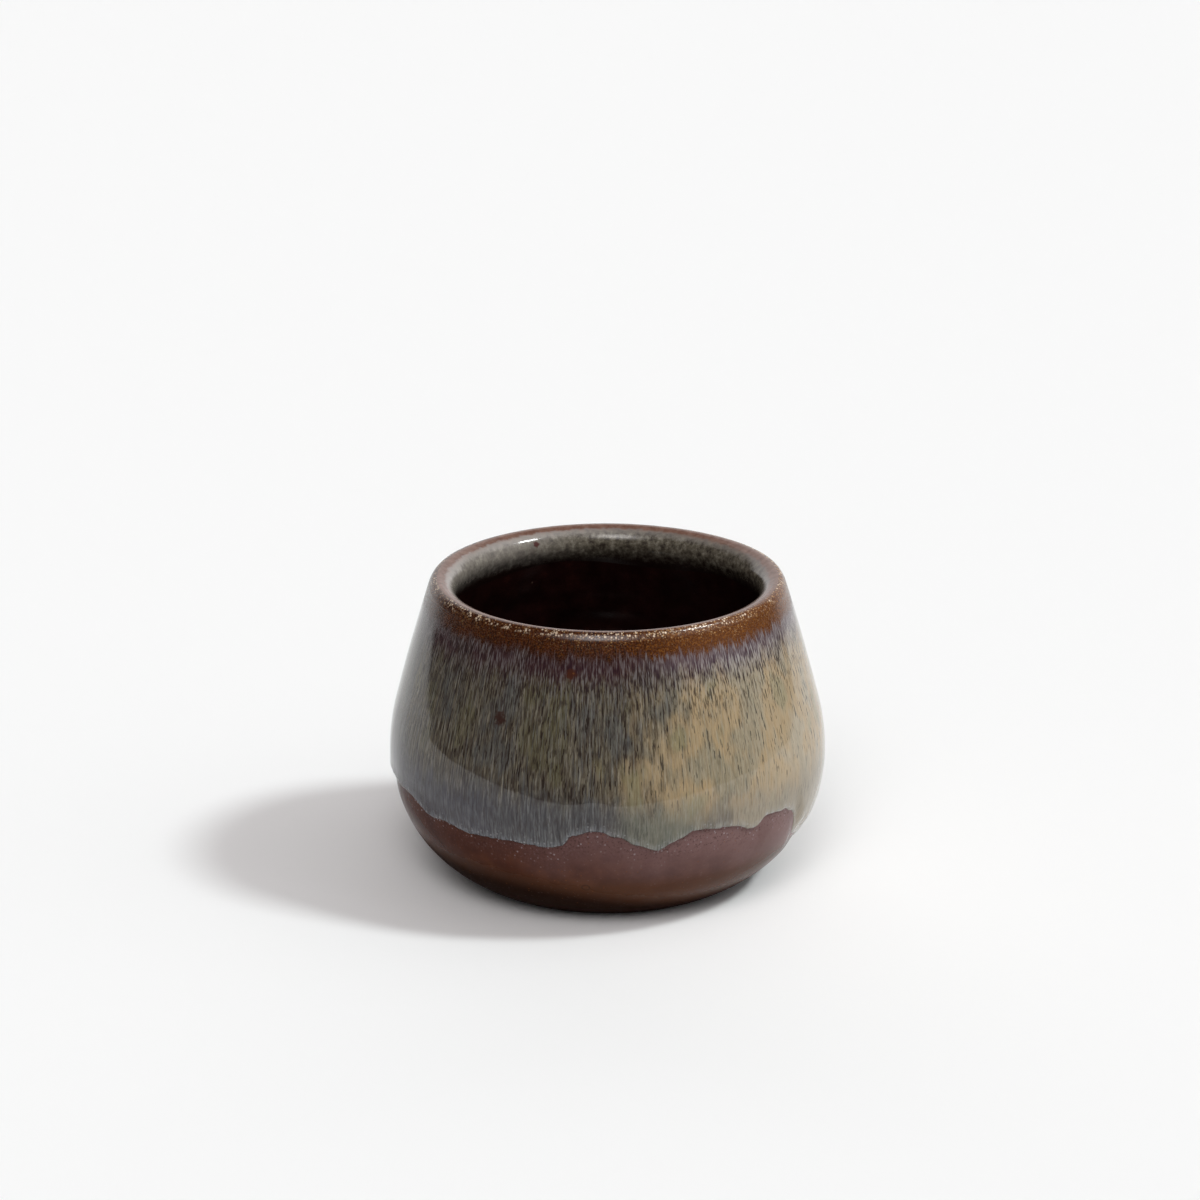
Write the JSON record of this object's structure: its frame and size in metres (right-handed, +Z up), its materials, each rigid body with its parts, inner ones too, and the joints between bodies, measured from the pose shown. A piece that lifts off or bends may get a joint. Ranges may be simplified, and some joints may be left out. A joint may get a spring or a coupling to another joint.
{
  "type": "coffee cup",
  "caption": "Handleless round-bellied stoneware cup for coffee, with a rounded lip, a dark glossy inside and a streaked overglaze that has run down over brown glaze.",
  "frame": {"origin": "on the table, under the middle of the standing ring", "axes": "+Z up along the cup's axis, -Y towards the front of the picture, +X to the right of it"},
  "size_m": [0.08, 0.0801, 0.056],
  "materials": {
    "stoneware": "bare, fine-grained, matte",
    "brown_glaze": "glossy red-brown iron glaze with fine pale specks",
    "liner_glaze": "glossy, near black brown",
    "lip_glaze": "satin golden brown with fine glittering crystals",
    "rutile_glaze": "glossy streaks of ochre, grey and blue with dark flecks"
  },
  "bodies": {
    "root": {"stoneware_body": "stoneware", "outer_brown_glaze": "brown_glaze", "lip_glaze": "lip_glaze", "liner_glaze": "liner_glaze", "rutile_glaze": "rutile_glaze", "rutile_inner_band": "rutile_glaze"}
  },
  "joints": []
}
